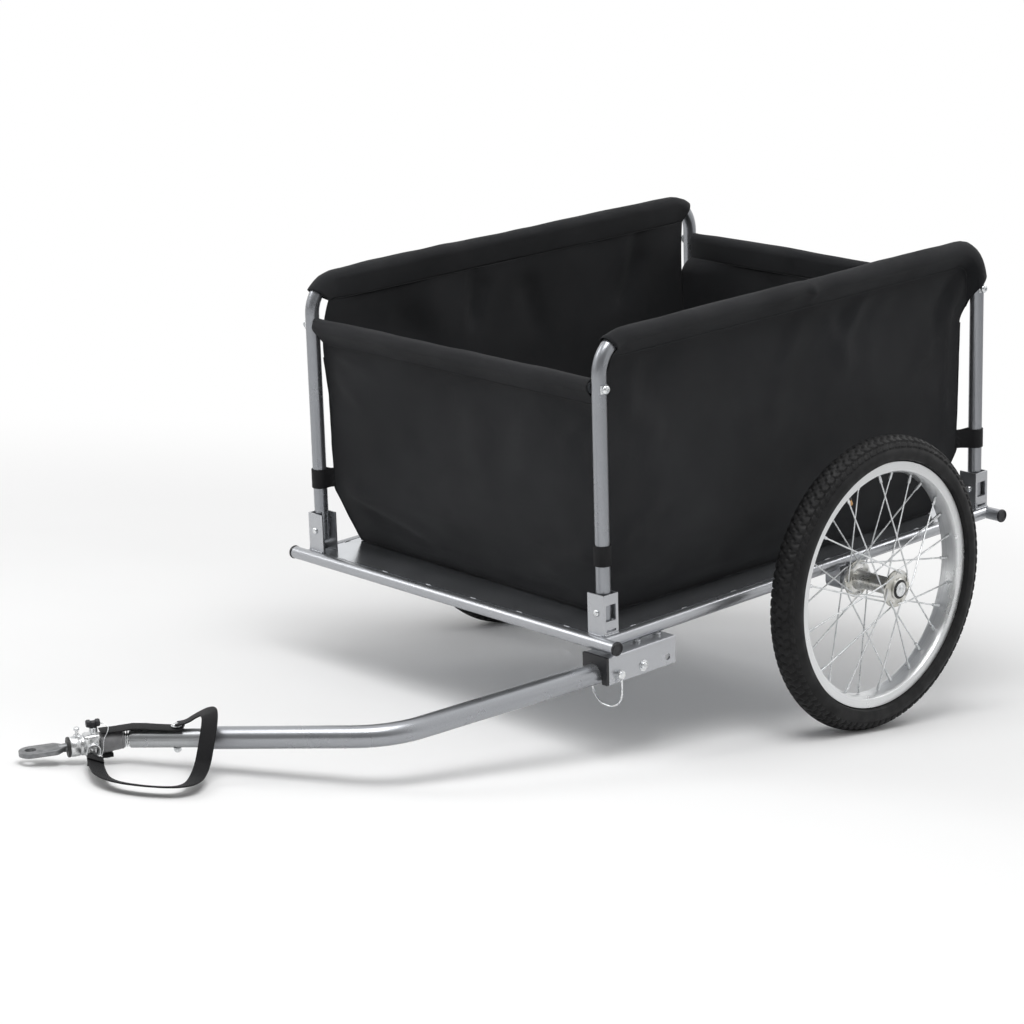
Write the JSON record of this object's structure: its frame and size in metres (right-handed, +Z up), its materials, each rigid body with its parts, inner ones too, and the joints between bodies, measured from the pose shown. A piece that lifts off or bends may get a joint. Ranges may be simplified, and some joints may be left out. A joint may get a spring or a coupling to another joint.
{
  "type": "bicycle cargo trailer",
  "caption": "Bicycle cargo trailer with a black fabric box on folding side frames, spoked wheels and a bent tow bar with a flexible hitch, parked nose-down.",
  "frame": {"origin": "middle of the footprint on the floor, as the trailer parks on its tyres and hitch eye", "axes": "+X to the trailer's left, -Y the way it is towed, +Z up; the frame pitches nose-down by 8.6 degrees"},
  "size_m": [0.737, 1.3464, 0.6116],
  "materials": {
    "grey_frame": "semi-gloss silver-grey powder coat",
    "floor_plate": "semi-gloss silver-grey sheet",
    "black_fabric": "plain woven polyester, matt",
    "black_webbing": "woven webbing",
    "black_plastic": "satin",
    "black_rubber": "satin",
    "tyre": "matt",
    "rim_silver": "silver lacquer",
    "spoke_steel": "bright zinc",
    "hub_steel": "bright zinc",
    "zinc_steel": "bright zinc plate"
  },
  "bodies": {
    "trailer": {"corner_tabs": "black_webbing", "coupling_body": "zinc_steel", "coupling_boot": "black_rubber", "coupling_coil": "zinc_steel", "coupling_knob_pin": "zinc_steel", "coupling_retainer_pin": "zinc_steel", "coupling_ring": "black_rubber", "coupling_sleeve": "zinc_steel", "fabric_bottom": "black_fabric", "fabric_front_wall": "black_fabric", "fabric_left_wall": "black_fabric", "fabric_rear_wall": "black_fabric", "fabric_right_wall": "black_fabric", "floor_cross_member": "grey_frame", "floor_sheet": "floor_plate", "front_cross_tube": "grey_frame", "front_crossbar": "grey_frame", "front_crossbar_screws": "zinc_steel", "front_left_post_bracket": "grey_frame", "front_right_post_bracket": "grey_frame", "hitch_eye": "zinc_steel", "left_axle": "hub_steel", "left_axle_bracket": "grey_frame", "left_side_frame": "grey_frame", "left_side_tube": "grey_frame", "post_pivot_bolts": "zinc_steel", "pull_pin_bail": "zinc_steel", "rear_cross_tube": "grey_frame", "rear_crossbar": "grey_frame", "rear_crossbar_screws": "zinc_steel", "rear_left_post_bracket": "grey_frame", "rear_right_post_bracket": "grey_frame", "right_axle": "hub_steel", "right_axle_bracket": "grey_frame", "right_side_frame": "grey_frame", "right_side_tube": "grey_frame", "safety_strap": "black_webbing", "strap_bolt": "zinc_steel", "strap_ring": "zinc_steel", "strap_tongue": "black_webbing", "towbar": "grey_frame", "towbar_bracket": "grey_frame", "towbar_bracket_bolts": "zinc_steel", "towbar_liner": "black_plastic", "towbar_pivot_bolt": "zinc_steel", "towbar_pull_pin": "zinc_steel", "tube_end_caps": "black_plastic"},
    "left_wheel": {"left_hub": "hub_steel", "left_rim": "rim_silver", "left_spokes": "spoke_steel", "left_tyre": "tyre"},
    "right_wheel": {"right_hub": "hub_steel", "right_rim": "rim_silver", "right_spokes": "spoke_steel", "right_tyre": "tyre"}
  },
  "joints": [
    {"name": "left_wheel_spin", "type": "hinge", "parent": "trailer", "child": "left_wheel", "pos_m": [0.327, 0.37524, 0.19], "axis": [1, 0, 0], "continuous": true},
    {"name": "right_wheel_spin", "type": "hinge", "parent": "trailer", "child": "right_wheel", "pos_m": [-0.327, 0.37524, 0.19], "axis": [1, 0, 0], "continuous": true}
  ]
}
